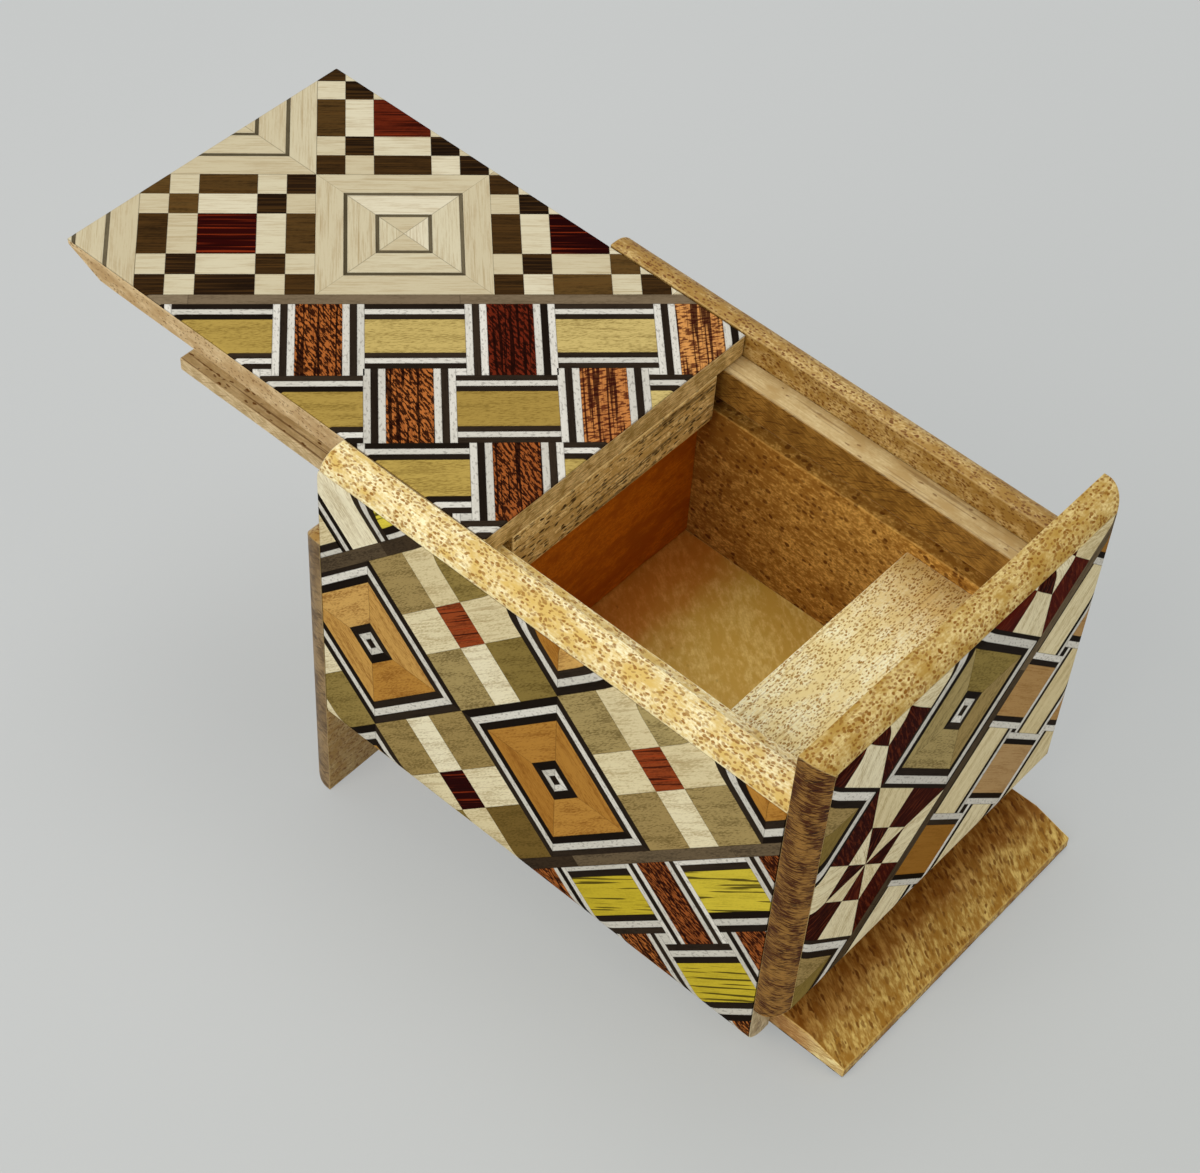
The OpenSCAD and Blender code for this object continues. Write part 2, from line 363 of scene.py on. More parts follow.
def partition_wood():
    """The cross wall: orange brown, even and fine grained."""
    return flecked("partition_wood", "#cc7410", "#a65606", "#6a3306", turn=-90, share=0.0,
                   lines=0.08, fibre=0.3, grit=0.45, cloud=1.2, sheen=0.5, bump=0.12, gloss=0.15,
                   seed=41.0)


# -------- yosegi shavings


def shaving(name, tones, fibre_hex, fibre=0.5, places=None, wool=0.3, figure=()):
    """A lacquered shaving, whose fibres run along each piece's own grain.

    tones are the hex values from the darkest piece to the lightest, spread evenly or at the given
    places from 0 to 1. fibre is the strength of the fibres, and wool the share of short curly ones.
    figure lists further marks: length, width, two limits, strength, hue, detail, roughness, turn.
    """
    material, tree, shader = new_material("yosegi_" + name, {
        "Specular IOR Level": 0.0, "Coat Weight": 0.04, "Coat Roughness": 0.28})
    place = add(tree, "ShaderNodeAttribute", attribute_name="grain_mm").outputs["Vector"]
    joint = attribute(tree, "joint")
    tones = tones.split()
    places = places or [i / (len(tones) - 1) for i in range(len(tones))]
    ramp = add(tree, "ShaderNodeValToRGB", {0: attribute(tree, "tone")}, list(zip(places, tones)))
    colour = ramp.outputs[0]
    broad = grain_noise(tree, place, (6.4, 0.96, 1.0), 2.0, 0.6)
    fine = grain_noise(tree, place, (4.0, 0.16, 1.0), 2.0, 0.65)
    short = grain_noise(tree, place, (0.6, 0.13, 1.0), 2.0, 0.6, turn=(0, 0, 6))
    grain = weighed(tree, (fine, 0.65 - wool), (short, wool), (broad, 0.35))
    colour = mixed(tree, threshold(tree, grain, 0.55, 0.38), colour, fibre_hex, fibre)
    for long, wide, low, high, strength, hue, *noisy in figure:
        marks = grain_noise(tree, place, (long, wide, 1.0), *noisy)
        colour = mixed(tree, threshold(tree, marks, low, high), colour, hue, strength)
    colour = mixed(tree, joint, colour, "#1d120a", 0.38)
    height = calc(tree, "SUBTRACT", times(tree, fine, 0.5), joint)
    rough = calc(tree, "ADD", times(tree, fine, 0.12), 0.42)
    finish_material(tree, shader, colour, height, rough, bump=0.18, depth=0.04)
    return material


def lines(spacing, low, high, strength, hue):
    """Marks that are lines along the grain, about so many millimetres apart."""
    return (12.0, spacing, low, high, strength, hue, 1.0)


BROWN_LINES = [lines(0.4, 0.66, 0.70, 0.3, "#8a6a30")]


def pale_dogwood():
    """Dogwood, the lid's pale ground wood: cream, satin, with faint tan fibres and brown lines."""
    return shaving("pale_dogwood", "#c4b898 #cdc4a6 #d8d0b6", "#a48d66", 0.45, wool=0.15,
                   figure=BROWN_LINES)


def ivory_holly():
    """Holly of the sides and ends: nearly white cream, grained with tan and a few brown lines."""
    return shaving("ivory_holly", "#d4c498 #dfd3ac #eae2c4", "#9c8350", 0.6, wool=0.4,
                   figure=BROWN_LINES)


def black_string():
    """Black-dyed stringing: soft black with a trace of grain."""
    return shaving("black_string", "#17100a #221a13 #33291f", "#0d0906")


def white_string():
    """White spindle-wood stringing: cool white, with grey flecks where dark glue shows through."""
    return shaving("white_string", "#c4c1b7 #d2cfc5 #dddad1", "#a19b8d", 0.3,
                   figure=[(0.5, 0.25, 0.55, 0.68, 0.5, "#77716a", 1.0)])


def dark_walnut():
    """Buried walnut: from nearly black to warm brown between pieces, streaked with brown."""
    return shaving("dark_walnut", "#160d06 #27180b #3e2a12 #5a4220 #7a6034", "#0e0703", 0.6,
                   (0.0, 0.3, 0.6, 0.8, 1.0), figure=[lines(0.26, 0.44, 0.68, 0.35, "#5e401c")])


def red_padauk():
    """Padauk and red sandalwood: dark maroon to red-brown, with dark and a few bright red lines."""
    return shaving("red_padauk", "#1e0202 #440b05 #823618 #a05026", "#2c0603", 0.6,
                   (0.0, 0.4, 0.7, 1.0), figure=[lines(0.3, 0.56, 0.70, 0.5, "#a23a14"),
                                                 lines(0.24, 0.55, 0.62, 0.8, "#1e0302")])


def maroon_rosewood():
    """Rosewood of the pinwheels: nearly black maroon, with short, uneven streaks of red brown."""
    return shaving("maroon_rosewood", "#1e0402 #340b05 #5a170a", "#120201", 0.6,
                   figure=[(2.4, 0.36, 0.47, 0.66, 0.5, "#74341a", 3.0, 0.7, (0, 0, 4))])


def yellow_sumac():
    """Sumac heartwood of the front: vivid yellow with hard black lines."""
    return shaving("yellow_sumac", "#c2ac2e #d8c848", "#8f7f1e", 0.4,
                   figure=[lines(0.36, 0.56, 0.62, 0.85, "#2a210a")])


def olive_sumac():
    """Older sumac of the lid: straw yellow, dense curly fibres."""
    return shaving("olive_sumac", "#9a7e3c #b0964c #ccb878", "#6c5520", 0.65, wool=0.5)


def orange_camphor():
    """Camphor: ochre tan, with fibres of a darker orange."""
    return shaving("orange_camphor", "#a8742e #ba8a40 #caa05a", "#7c4a16", 0.7, wool=0.45)


def tan_camphor():
    """Paler camphor of the end boards: golden brown to pinkish tan between pieces."""
    return shaving("tan_camphor", "#86540f #a57a3c #b3966c", "#744812", 0.4)


def olive_magnolia():
    """Magnolia: grey brown to khaki between pieces, with curly fibres."""
    return shaving("olive_magnolia", "#6c5426 #8c7940 #9d8654 #a99764", "#4c3b14", 0.65,
                   (0.0, 0.4, 0.75, 1.0), wool=0.5)


def palm_bark():
    """Palm-like wood of the upright bars: orange brown, short slanting dark strokes, black lines."""
    return shaving("palm_bark", "#64200e #ac632d #d28846", "#5c2410",
                   figure=[(0.9, 0.26, 0.45, 0.53, 0.95, "#220803", 2.0, 0.6, (0, 0, 28)),
                           lines(0.36, 0.54, 0.60, 0.9, "#180502")])


def hatched_padauk():
    """Cross-figured padauk: orange, with thin dark red lines both along and across."""
    return shaving("hatched_padauk", "#a85c2a #d09250", "#6a2a12", 0.4,
                   figure=[(0.26, 0.9, 0.47, 0.56, 0.85, "#48120a", 2.0, 0.5, (0, 0, 14)),
                           lines(0.32, 0.50, 0.58, 0.9, "#2c0805")])


def grey_katsura():
    """Weathered katsura of the dividing strips: grey brown."""
    return shaving("grey_katsura", "#5f5038 #766650 #8c7d64", "#4a3d2a", wool=0.45)


def inlay_line():
    """Thin walnut lines inlaid in the pale blocks."""
    return shaving("inlay_line", "#4f4734 #6b614b", "#3a3020")


def charcoal_strip():
    """Charcoal dividing strips of the sides and ends, rubbed a little grey."""
    return shaving("charcoal_strip", "#372b1e #695a44", "#1a130e", 0.55, wool=0.5)


SHAVINGS = {
    "cream": pale_dogwood(),
    "ivory": ivory_holly(),
    "black": black_string(),
    "white": white_string(),
    "dark": dark_walnut(),
    "red": red_padauk(),
    "maroon": maroon_rosewood(),
    "yellow": yellow_sumac(),
    "gold": olive_sumac(),
    "orange": orange_camphor(),
    "tan": tan_camphor(),
    "olive": olive_magnolia(),
    "bark": palm_bark(),
    "hatched": hatched_padauk(),
    "grey": grey_katsura(),
    "line": inlay_line(),
    "charcoal": charcoal_strip(),
}
KINDS = list(SHAVINGS)


# -------- blocks of the pattern


def rect(p0, p1, q0, q1, kind, grain=0.0):
    """A rectangular shaving between two places along and two across the band."""
    return ([(p0, q0), (p1, q0), (p1, q1), (p0, q1)], kind, grain)


def mitred_ring(outer, inner, kind):
    """Four mitred strips between two squares, each with its grain along its side."""
    tiles = []
    corners = [(-outer, -outer), (outer, -outer), (inner, -inner), (-inner, -inner)]
    if inner < 0.01:
        corners = corners[:3]
    for turn in range(4):
        angle = math.radians(90 * turn)
        turned = [(p * math.cos(angle) - q * math.sin(angle), p * math.sin(angle) + q * math.cos(angle))
                  for p, q in corners]
        tiles.append((turned, kind, angle))
    return tiles


def framed(*rings):
    """Mitred rings one inside the other, from (half size, kind) pairs, outermost first."""
    halves = [half for half, _ in rings] + [0.0]
    return [tile for i, (half, kind) in enumerate(rings)
            for tile in mitred_ring(half, halves[i + 1], kind)]


def chequered(widths, rows):
    """Rows and columns of pieces; each letter of a row is the first one of its wood."""
    woods = {"c": "cream", "d": "dark", "i": "ivory", "o": "olive", "r": "red"}
    edges = [-sum(widths) / 2]
    for width in widths:
        edges.append(edges[-1] + width)
    return [rect(edges[c], edges[c + 1], edges[r], edges[r + 1], woods[letter])
            for r, row in enumerate(rows.split()) for c, letter in enumerate(row)]


def pinwheel(half, inner):
    """Eight sectors, light and dark by turns, whose order turns round outside the inner square."""
    tiles = []
    rim = [(-1, -1), (0, -1), (1, -1), (1, 0), (1, 1), (0, 1), (-1, 1), (-1, 0)]
    for i, (a, b) in enumerate(zip(rim, rim[1:] + rim[:1])):
        near = [(a[0] * inner, a[1] * inner), (b[0] * inner, b[1] * inner)]
        far = [(b[0] * half, b[1] * half), (a[0] * half, a[1] * half)]
        dark_inside = i % 2 == 0
        angle = math.atan2(a[1] + b[1], a[0] + b[0])
        tiles.append(([(0, 0)] + near, "maroon" if dark_inside else "ivory", angle))
        tiles.append((near + far, "ivory" if dark_inside else "maroon", angle))
    return tiles


def strings(outer, inner, width):
    """Three strings side by side, the outer two of one wood."""
    return [(outer, width), (inner, width), (outer, width)]


def woven(bar, beside, length, upright, lying, beside_lying, slip):
    """One repeat of the basket weave, and its pitch: two upright and two lying bars with strings."""
    wide = bar + 2 * sum(width for _, width in beside)
    high = bar + 2 * sum(width for _, width in beside_lying)
    tiles = []

    def stand(left, top):
        for kind, width in beside[::-1] + [(upright, bar)] + beside:
            tiles.append(rect(left, left + width, top, top + length, kind, math.radians(90)))
            left += width

    def lie(left, top):
        for kind, width in beside_lying[::-1] + [(lying, bar)] + beside_lying:
            tiles.append(rect(left, left + length, top, top + width, kind))
            top += width

    second = wide + length / 2 + slip - wide / 2
    stand(0.0, 0.0)
    lie(wide, 0.0)
    stand(second, high)
    lie(second + wide, length)
    for left, right in ((wide, second), (second + wide, wide + length)):
        if right - left > 0.01:
            tiles.append(rect(left, right, high, length, beside[0][0]))
    return tiles, (wide + length, high + length)


def scaled(tiles, along, across):
    """The same tiles, stretched along and across the band."""
    return [([(p * along, q * across) for p, q in corners], kind, grain)
            for corners, kind, grain in tiles]


def moved(tiles, along, across):
    """The same tiles, moved along and across the band."""
    return [([(p + along, q + across) for p, q in corners], kind, grain)
            for corners, kind, grain in tiles]


# -------- laying the blocks


LAYING_NUMBERS = {"Columns": "Int", "Rows": "Int", "Pitch along": "Float", "Pitch across": "Float",
                  "Start along": "Float", "Start across": "Float", "Row shift": "Float",
                  "Skew": "Float"}


def laying_tree():
    """Geometry Nodes that repeat a block along and across the band, and give each wood."""
    tree = bpy.data.node_groups.new("lay_yosegi_blocks", "GeometryNodeTree")
    tree.is_modifier = True
    tree.interface.new_socket("Block", in_out="INPUT", socket_type="NodeSocketGeometry")
    for name, kind in LAYING_NUMBERS.items():
        tree.interface.new_socket(name, in_out="INPUT", socket_type="NodeSocket" + kind)
    tree.interface.new_socket("Laid sheet", in_out="OUTPUT", socket_type="NodeSocketGeometry")

    def put(geometry, how, parts):
        """Sets the Position of the points, or moves them by an Offset, from the parts of a vector."""
        vector = add(tree, "ShaderNodeCombineXYZ", parts).outputs[0]
        return add(tree, "GeometryNodeSetPosition", {"Geometry": geometry, how: vector}).outputs[0]

    given = add(tree, "NodeGroupInput").outputs
    count = times(tree, given["Columns"], given["Rows"])
    line = add(tree, "GeometryNodeMeshLine", {"Count": count, "Offset": (0, 0, 0)})
    index = add(tree, "GeometryNodeInputIndex").outputs[0]
    row = calc(tree, "FLOOR", calc(tree, "DIVIDE", index, given["Columns"]))
    column = calc(tree, "SUBTRACT", index, times(tree, row, given["Columns"]))
    odd = calc(tree, "MODULO", row, 2.0)
    reach = weighed(tree, (column, given["Pitch along"]), (odd, given["Row shift"]))
    along = calc(tree, "ADD", given["Start along"], reach)
    across = calc(tree, "ADD", given["Start across"], times(tree, row, given["Pitch across"]))
    spots = put(line.outputs[0], "Position", {0: along, 1: across})
    blocks = add(tree, "GeometryNodeInstanceOnPoints", {"Points": spots, "Instance": given["Block"]})
    real = add(tree, "GeometryNodeRealizeInstances", {0: blocks.outputs[0]}).outputs[0]
    here = axes(tree, add(tree, "GeometryNodeInputPosition").outputs[0])
    lean = times(tree, times(tree, here[0], given["Skew"]), -1.0)
    laid = put(real, "Offset", {1: lean})
    wood = add(tree, "GeometryNodeInputNamedAttribute", {0: "wood"}, data_type="INT").outputs[0]
    for number, kind in enumerate(KINDS):
        chosen = add(tree, "FunctionNodeCompare", {2: wood, 3: number}, data_type="INT",
                     operation="EQUAL").outputs[0]
        laid = add(tree, "GeometryNodeSetMaterial", {"Geometry": laid, "Selection": chosen,
                                                     "Material": SHAVINGS[kind]}).outputs[0]
    add(tree, "NodeGroupOutput", {0: laid})
    return tree


LAYING = laying_tree()


def block_mesh(tiles):
    """The tiles as flat faces that carry their wood's number and the angle of their grain."""
    made = bmesh.new()
    wood = made.faces.layers.int.new("wood")
    grain = made.faces.layers.float.new("grain")
    for corners, kind, angle in tiles:
        face = made.faces.new([made.verts.new((p, q, 0)) for p, q in corners])
        face[wood] = KINDS.index(kind)
        face[grain] = angle
    mesh = bpy.data.meshes.new("block")
    made.to_mesh(mesh)
    made.free()
    return mesh


def lay(tiles, count, pitch, start, row_shift, skew):
    """A flat mesh of the tiles, repeated by the laying tree; the pairs are along and across."""
    block = in_scene("block", block_mesh(tiles))
    laying = block.modifiers.new("laying", "NODES")
    laying.node_group = LAYING
    numbers = dict(zip(LAYING_NUMBERS, (*count, *pitch, *start, row_shift, skew)))
    for item in LAYING.interface.items_tree:
        if item.name in numbers:
            laying[item.identifier] = numbers[item.name]
    depsgraph = bpy.context.evaluated_depsgraph_get()
    mesh = bpy.data.meshes.new_from_object(block.evaluated_get(depsgraph), depsgraph=depsgraph)
    bpy.data.objects.remove(block)
    return mesh


def cut(made, place, direction, trim):
    """Cuts the mesh along a line; trim throws away what lies beyond it, in direction."""
    everything = made.verts[:] + made.edges[:] + made.faces[:]
    bmesh.ops.bisect_plane(made, geom=everything, plane_co=place, plane_no=direction, clear_outer=trim)


def band(low, high, tiles, count, pitch, start, row_shift=0.0, lean=0.0):
    """A laid zone, cut to the band between two lines; lean tilts both lines with the pattern."""
    made = bmesh.new()
    made.from_mesh(lay(tiles, count, pitch, start, row_shift, lean))
    cut(made, (0, low, 0), (-lean, -1, 0), trim=True)
    cut(made, (0, high, 0), (lean, 1, 0), trim=True)
    return made


# -------- sheets


class Face:
    """A side of a board under its sheet, seen from outside: where the pattern starts and runs."""

    def __init__(self, board, sheet, across, down):
        self.across = Vector(across)
        self.down = Vector(down)
        self.out = self.down.cross(self.across)
        low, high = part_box(board)
        self.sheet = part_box(sheet)
        corner = []
        for axis, way in enumerate(self.across + self.down):
            if way:
                corner.append((low if way > 0 else high)[axis] / MM)
            else:
                corner.append(self.sheet[1 if self.out[axis] > 0 else 0][axis] / MM)
        self.corner = Vector(corner)
        spans = [(high[axis] - low[axis]) / MM for axis in range(3)]
        self.size = [sum(abs(d) * span for d, span in zip(way, spans))
                     for way in (self.across, self.down)]
        self.thick = abs((self.sheet[1] - self.sheet[0]).dot(self.out)) / MM


def give_tones(made, rng, chosen):
    """Gives every shaving its tone, and the picked ones their own wood and tone."""
    wood = made.faces.layers.int["wood"]
    tone = made.faces.layers.float.new("tone")
    for face in made.faces:
        face[tone] = rng.random()
    for p, q, kind, value in chosen:
        spot = Vector((p, q, 0))
        for face in made.faces:
            if bmesh.geometry.intersect_face_point(face, spot):
                face[wood] = KINDS.index(kind)
                face[tone] = value


def draw_joints(made):
    """A thin rim round every shaving that is wide enough for it, marked as its glue line."""
    joint = made.faces.layers.float.new("joint")
    wide = [f for f in made.faces
            if f.calc_area() > JOINTED_AREA and min(e.calc_length() for e in f.edges) > 3 * GLUE_LINE]
    before = set(made.faces)
    bmesh.ops.inset_individual(made, faces=wide, thickness=GLUE_LINE, use_even_offset=True)
    for face in made.faces:
        if face not in before:
            face[joint] = 1.0


def rounded_dip(distance, radius):
    """How far a rounded edge lies below the face, so far in from where the faces would meet."""
    if distance >= radius:
        return 0.0
    return radius - math.sqrt(radius ** 2 - (radius - max(distance, 0.0)) ** 2)


def joined(zones):
    """The zones of a pattern in one mesh."""
    made = bmesh.new()
    for zone in zones:
        mesh = bpy.data.meshes.new("zone")
        zone.to_mesh(mesh)
        zone.free()
        made.from_mesh(mesh)
    return made


def cut_across(made, x, side, trim):
    """Cuts a pattern, whose own axes run at 45 degrees to its face, at a distance along the face."""
    cut(made, (x * DIAGONAL, x * DIAGONAL, 0), (side, side, 0), trim)


def cut_along(made, v, side, trim):
    """Cuts a pattern at a distance down the face."""
    cut(made, (-v * DIAGONAL, v * DIAGONAL, 0), (-side, side, 0), trim)


def trim_to(made, face):
    """Cuts a pattern to the outline of its sheet, and drops slivers."""
    corners = [place / MM - face.corner for place in face.sheet]
    for x, side in zip(sorted(c.dot(face.across) for c in corners), (-1, 1)):
        cut_across(made, x, side, trim=True)
    for v, side in zip(sorted(c.dot(face.down) for c in corners), (-1, 1)):
        cut_along(made, v, side, trim=True)
    slivers = [f for f in made.faces if f.calc_area() < SLIVER_AREA]
    bmesh.ops.delete(made, geom=slivers, context="FACES")


def crease_rims(made, face, rounding):
    """Three lines near each edge, where the sheet will bend down."""
    wide, tall = face.size
    for near in (rounding, rounding * 0.87, rounding * 0.74):
        for x in (near, wide - near):
            cut_across(made, x, 1, trim=False)
        for v in (near, tall - near):
            cut_along(made, v, 1, trim=False)


def follow_grain(made):
    """Gives every shaving its wood, cut from its own place in it, with the grain its own way."""
    wood = made.faces.layers.int["wood"]
    grain = made.faces.layers.float["grain"]
    tone = made.faces.layers.float["tone"]
    place = made.verts.layers.float_vector.new("grain_mm")
    for piece in made.faces:
        piece.material_index = piece[wood]
        turn = Matrix.Rotation(-piece[grain], 3, "Z")
        cut_from = Vector((piece[tone] * 977 % 40, piece[tone] * 613 % 50, 0))
        for vert in piece.verts:
            vert[place] = turn @ vert.co + cut_from


def glue_on(made, face, rounding, ends):
    """Thickens a flat pattern and lays it on its board, planed down into the rounded edges."""
    wide, tall = face.size
    tops = bmesh.ops.extrude_face_region(made, geom=made.faces[:])["geom"]
    raised = {v for v in tops if isinstance(v, bmesh.types.BMVert)}
    for vert in made.verts:
        p, q = vert.co.x, vert.co.y
        x, v = (p + q) * DIAGONAL, (q - p) * DIAGONAL
        height = 0.0
        if vert in raised:
            gaps = [v, tall - v, x, wide - x] if ends else [v, tall - v]
            height = max(face.thick - sum(rounded_dip(g, rounding) for g in gaps), 0.01)
        vert.co = face.corner + face.across * x + face.down * v + face.out * (height - face.thick)


def lay_sheet(node, face, zones, seed, chosen=(), rounding=SHEET_EDGE, ends=True):
    """A whole yosegi sheet in place of its CAD node.

    rounding is the radius of the edges that the sheet is planed down into, at its ends too or not.
    """
    made = joined(zones)
    trim_to(made, face)
    give_tones(made, random.Random(seed), chosen)
    draw_joints(made)
    crease_rims(made, face, rounding)
    follow_grain(made)
    glue_on(made, face, rounding, ends)
    place_piece(made, node.replace("_sheet", "_marquetry"), node, SHAVINGS.values(), smooth=False)


# -------- boards


def place_piece(made, name, node, materials, smooth):
    """Turns a mesh in millimetres into a finished piece that stands for its CAD node."""
    bmesh.ops.recalc_face_normals(made, faces=made.faces)
    bmesh.ops.scale(made, vec=(MM, MM, MM), verts=made.verts)
    mesh = bpy.data.meshes.new(name)
    made.to_mesh(mesh)
    made.free()
    for material in materials:
        mesh.materials.append(material)
    for polygon in mesh.polygons:
        polygon.use_smooth = smooth
    piece = in_scene(name, mesh)
    if smooth:
        weigh = piece.modifiers.new("flat_faces_first", "WEIGHTED_NORMAL")
        weigh.weight = 90
        weigh.keep_sharp = False
    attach(piece, frame["nodes"][node]["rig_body"])
    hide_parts(node)


def board_mesh(node):
    """A CAD board's mesh in millimetres, with its triangles joined into whole faces."""
    made = bmesh.new()
    made.from_mesh(frame["nodes"][node].data)
    bmesh.ops.scale(made, vec=(1 / MM, 1 / MM, 1 / MM), verts=made.verts)
    bmesh.ops.remove_doubles(made, verts=made.verts, dist=0.002)
    bmesh.ops.dissolve_limit(made, angle_limit=math.radians(0.5), verts=made.verts, edges=made.edges)
    return made


def rings_across(made, axis):
    """Cuts a board across one axis every few millimetres, so that it can waver."""
    places = [v.co[axis] for v in made.verts]
    low, high = min(places), max(places)
    count = int((high - low) / RING_STEP)
    normal = Vector((0, 0, 0))
    normal[axis] = 1
    for i in range(1, count):
        cut(made, normal * (low + (high - low) * i / count), normal, trim=False)


def ease_edges(made):
    """Rounds every sharp edge by a fraction of a millimetre and marks it as worn."""
    worn = made.faces.layers.float.new("worn")
    sharp = [e for e in made.edges if len(e.link_faces) == 2 and e.calc_face_angle() > math.radians(25)]
    eased = bmesh.ops.bevel(made, geom=sharp, offset=EASED, offset_type="OFFSET", segments=2,
                            profile=0.5, affect="EDGES", clamp_overlap=True)
    for face in eased["faces"]:
        face[worn] = 1.0


def drift(place):
    """A smooth shift along each axis. Unlike noise_vector, it is the same on every run."""
    apart = ((9.3, 0, 0), (0, 17.1, 0), (0, 0, 31.7))
    return Vector([noise.noise(place + Vector(step)) for step in apart])


def waver(made, seed):
    """Moves a board's surface by hundredths of a millimetre, as hand planing leaves it."""
    for vert in made.verts:
        broad = drift(vert.co * 0.16 + Vector((seed, seed * 2, seed * 3)))
        fine = drift(vert.co * 0.7 + Vector((seed, seed, seed)))
        vert.co += (broad * 0.75 + fine * 0.25) * WAVER


def lift_foot(made, least, most):
    """Leaves an uneven gap under a board, as where the partition doesn't meet the floor."""
    foot = min(v.co.z for v in made.verts)
    for vert in made.verts:
        if vert.co.z < foot + 0.01:
            step = round(2.0 * noise.noise(Vector((vert.co.y * 0.17, 4.0, 0.0)))) / 2.0
            vert.co.z += least + (most - least) * min(1.0, abs(step))


def dress_board(node, material, axis, seed):
    """A CAD board as a finished piece of wood, whose surface wavers along one axis."""
    made = board_mesh(node)
    rings_across(made, axis)
    if node == "left_cross_wall":
        lift_foot(made, least=0.2, most=0.5)
    ease_edges(made)
    waver(made, seed)
    place_piece(made, node + "_wood", node, [material], smooth=True)


# -------- the six sheets


def divider(low, high, kind, width, count, start, lean=0.0):
    """A strip between two zones, of so many pieces laid end to end."""
    piece = [rect(0, 26, 0, width, kind)]
    return band(low, high, piece, (count, 1), pitch=(26.0, width), start=start, lean=lean)


def lid_pattern():
    """Chequers and framed squares at the far corner, a strip, then the gold basket weave."""
    square = framed((8.65, "cream"), (5.93, "line"), (5.55, "cream"), (2.78, "line"), (2.42, "cream"))
    chequer = chequered((2.88, 2.88, 5.76, 2.88, 2.88), "dcdcd cdcdc dcrcd cdcdc dcdcd")
    pair = chequer + moved(square, 17.3, 0)
    weave, pitch = woven(4.5, strings("white", "black", 0.7), 9.6, "bark", "gold",
                         strings("black", "white", 0.7), -0.6)
    return [
        band(-12, 33.9, pair, (4, 4), (34.6, 17.3), start=(-45.2, -9.3), row_shift=17.3),
        divider(33.9, 35.2, "grey", 1.3, 4, start=(-40.0, 33.9)),
        band(35.2, 70, weave, (6, 3), pitch, start=(-42.5, 35.2)),
    ]


def front_pattern():
    """Orange framed squares and olive crosses between two dark strips, with weave outside them."""
    lean = 0.042
    square = framed((8.65, "black"), (7.8, "white"), (7.0, "black"), (6.2, "orange"),
                    (2.1, "black"), (1.2, "white"), (0.5, "black"))
    cross = chequered((6.4, 4.5, 6.4), "oio iri oio")
    pair = scaled(square + moved(cross, 17.3, 0), 17.2 / 17.3, 17.4 / 17.3)
    lower, pitch = woven(4.6, strings("white", "black", 0.7), 10.4, "bark", "yellow",
                         strings("black", "white", 0.75), -0.5)
    upper, _ = woven(4.9, strings("black", "white", 0.7), 10.4, "ivory", "yellow",
                     strings("black", "white", 0.7), -0.5)
    return [
        band(-40, 9.4, upper, (4, 3), pitch, start=(-43.7, -37.8), lean=lean),
        divider(9.4, 10.9, "charcoal", 1.6, 5, start=(-50.0, 9.4), lean=lean),
        band(10.9, 45.1, pair, (5, 4), (34.4, 17.4), start=(-61.9, 1.8), row_shift=-17.2, lean=lean),
        divider(45.1, 46.4, "charcoal", 1.6, 5, start=(-50.0, 45.0), lean=lean),
        band(46.4, 75, lower, (6, 3), pitch, start=(-28.5, 45.4), lean=lean),
    ]


def end_pattern(shift):
    """Olive framed squares and red pinwheels, a dark strip, then a brown and cream weave."""
    square = framed((8.45, "black"), (8.0, "white"), (7.1, "black"), (6.3, "olive"),
                    (2.05, "black"), (1.3, "white"), (0.55, "black"))
    pair = scaled(square + moved(pinwheel(8.45, 4.1), 16.9, 0), 16.5 / 16.9, 17.3 / 16.9)
    weave, pitch = woven(5.6, [("black", 0.6), ("white", 0.7)], 9.6, "tan", "ivory",
                         [("black", 0.7), ("white", 0.7)], 0.3)
    return [
        band(-40, 31.1, pair, (4, 5), (33.0, 17.3), start=(-58.7 + shift, -12.0), row_shift=16.5),
        divider(31.1, 32.7, "charcoal", 1.6, 4, start=(-40.0, 31.1)),
        band(32.7, 70, weave, (6, 3), pitch, start=(-47.6 + shift, 31.6)),
    ]


# Picked shavings: a place along and across the band, a wood, and a tone from 0, dark, to 1, pale.
FRONT_PICKS = [
    (6.9, 18.9, "red", 0.85), (24.6, 35.6, "red", 0.8), (-9.7, 37.0, "red", 0.05),
    (-0.5, 6.0, "ivory", 1.0), (-5.9, 7.9, "ivory", 0.2), (1.5, 13.5, "olive", 0.8),
    (1.5, 24.4, "olive", 0.9), (12.4, 24.4, "olive", 0.3), (19.2, 30.1, "olive", 0.9),
    (30.0, 41.1, "olive", 0.85), (-4.2, 42.4, "olive", 0.05),
]
RIGHT_PICKS = [(-7.9, 36.0, "tan", 0.2), (9.9, 36.0, "tan", 0.7), (1.3, 45.0, "tan", 0.85)]


def chequer_tones(p, q, rows):
    """Picks for a chequer's dark pieces: a digit is a piece's tone in tenths, a dot is a pale one."""
    places = (-7.2, -4.3, 0.0, 4.3, 7.2)
    return [(p + across, q + down, "dark", int(digit) / 10)
            for down, row in zip(places, rows.split()) for across, digit in zip(places, row)
            if digit != "."]


LID_PICKS = chequer_tones(-10.6, 25.3, "8.7.3 .8.2. 6...7 .3.5. 4.2.6")
LID_PICKS += chequer_tones(6.7, 8.0, "5.3.3 .1.2. 7...4 .1.1. 5.5.2")
LID_PICKS += chequer_tones(24.0, 25.3, "5.4.4 .1.3. 6...5 .2.8. 5.8.5")
LID_PICKS += [
    (-10.6, 25.3, "red", 0.1), (6.7, 8.0, "red", 0.5), (24.0, 25.3, "red", 0.0),
    (-1.4, 40.0, "bark", 0.5), (16.9, 40.0, "bark", 0.0),
    (35.0, 40.0, "hatched", 1.0), (7.2, 48.0, "bark", 0.55), (25.5, 48.0, "hatched", 0.5),
    (16.4, 57.0, "bark", 0.35), (7.8, 40.0, "gold", 0.75), (26.0, 40.0, "gold", 0.85),
    (16.4, 48.0, "gold", 0.15), (7.2, 57.0, "gold", 0.5),
]


